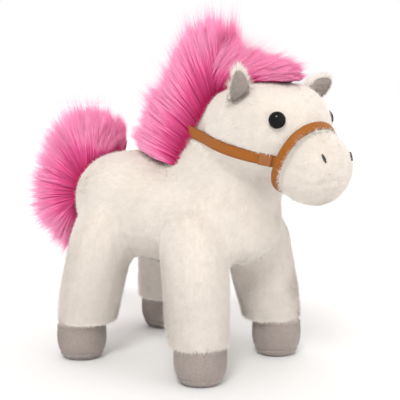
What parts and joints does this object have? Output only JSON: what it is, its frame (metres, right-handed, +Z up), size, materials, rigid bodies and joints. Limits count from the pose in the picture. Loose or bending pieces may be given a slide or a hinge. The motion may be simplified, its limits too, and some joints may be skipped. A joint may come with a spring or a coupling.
{
  "type": "plush toy horse",
  "caption": "Stuffed plush horse standing on its hooves, with a long-pile mane and tail, grey hooves, glossy eyes and a flat strap bridle.",
  "frame": {"origin": "on the ground, under the middle of the whole horse's bounding box", "axes": "+X towards the nose, +Y to the horse's left, +Z up from the ground"},
  "size_m": [0.3032, 0.1534, 0.2565],
  "materials": {
    "white_plush": "short cut pile, matte",
    "grey_plush": "short cut pile, matte",
    "pink_pile": "long pile, soft sheen",
    "filling": "loose fibre",
    "strap": "soft imitation leather",
    "eye": "polished",
    "washer": "moulded",
    "dark_thread": "satin stitch",
    "white_thread": "sewing thread"
  },
  "bodies": {
    "trunk": {"trunk_cover": "white_plush", "trunk_filling": "filling", "closing_stitches": "white_thread"},
    "neck": {"neck_cover": "white_plush", "neck_filling": "filling", "mane": "pink_pile"},
    "head": {"head_cover": "white_plush", "head_filling": "filling", "muzzle_cover": "white_plush", "muzzle_filling": "filling", "right_eye": "eye", "right_eye_washer": "washer", "right_nostril_stitch": "dark_thread", "right_strap_fold": "strap", "left_eye": "eye", "left_eye_washer": "washer", "left_nostril_stitch": "dark_thread", "left_strap_fold": "strap", "noseband": "strap", "cheek_strap": "strap", "forelock": "pink_pile"},
    "right_ear": {"right_ear_outer": "white_plush", "right_ear_lining": "grey_plush"},
    "left_ear": {"left_ear_outer": "white_plush", "left_ear_lining": "grey_plush"},
    "tail": {"tail": "pink_pile"},
    "right_fore_leg": {"right_fore_leg_cover": "white_plush", "right_fore_leg_filling": "filling", "right_fore_hoof_wall": "grey_plush", "right_fore_hoof_sole": "grey_plush"},
    "left_fore_leg": {"left_fore_leg_cover": "white_plush", "left_fore_leg_filling": "filling", "left_fore_hoof_wall": "grey_plush", "left_fore_hoof_sole": "grey_plush"},
    "right_hind_leg": {"right_hind_leg_cover": "white_plush", "right_hind_leg_filling": "filling", "right_hind_hoof_wall": "grey_plush", "right_hind_hoof_sole": "grey_plush"},
    "left_hind_leg": {"left_hind_leg_cover": "white_plush", "left_hind_leg_filling": "filling", "left_hind_hoof_wall": "grey_plush", "left_hind_hoof_sole": "grey_plush"}
  },
  "joints": [
    {"name": "neck_turn", "type": "hinge", "parent": "trunk", "child": "neck", "pos_m": [0.03837, -0.00681, 0.133], "axis": [0.4205, 0, 0.9073], "range_deg": [-18, 18], "stiffness_Nm_per_rad": 1},
    {"name": "head_nod", "type": "hinge", "parent": "neck", "child": "head", "pos_m": [0.07204, -0.00993, 0.174], "axis": [0.2079, 0.9781, 0], "range_deg": [-8, 8], "stiffness_Nm_per_rad": 2, "deforming": ["mane"]},
    {"name": "right_ear_fold", "type": "hinge", "parent": "head", "child": "right_ear", "pos_m": [0.08027, -0.04337, 0.1915], "axis": [0.7644, 0.6353, 0.1097], "range_deg": [-25, 25], "stiffness_Nm_per_rad": 0.004},
    {"name": "left_ear_fold", "type": "hinge", "parent": "head", "child": "left_ear", "pos_m": [0.09326, 0.01776, 0.199], "axis": [0.0161, 0.4114, -0.9113], "range_deg": [-25, 25], "stiffness_Nm_per_rad": 0.004},
    {"name": "tail_swing", "type": "hinge", "parent": "trunk", "child": "tail", "pos_m": [-0.07763, -0.00681, 0.145], "axis": [0, 0, 1], "range_deg": [-25, 25], "stiffness_Nm_per_rad": 0.05},
    {"name": "right_fore_leg_swing", "type": "hinge", "parent": "trunk", "child": "right_fore_leg", "pos_m": [0.04037, -0.04381, 0.101], "axis": [0, 1, 0], "range_deg": [-12, 12], "stiffness_Nm_per_rad": 1},
    {"name": "left_fore_leg_swing", "type": "hinge", "parent": "trunk", "child": "left_fore_leg", "pos_m": [0.04037, 0.03019, 0.101], "axis": [0, 1, 0], "range_deg": [-12, 12], "stiffness_Nm_per_rad": 1},
    {"name": "right_hind_leg_swing", "type": "hinge", "parent": "trunk", "child": "right_hind_leg", "pos_m": [-0.04163, -0.04381, 0.101], "axis": [0, 1, 0], "range_deg": [-12, 12], "stiffness_Nm_per_rad": 1},
    {"name": "left_hind_leg_swing", "type": "hinge", "parent": "trunk", "child": "left_hind_leg", "pos_m": [-0.04163, 0.03019, 0.101], "axis": [0, 1, 0], "range_deg": [-12, 12], "stiffness_Nm_per_rad": 1}
  ]
}
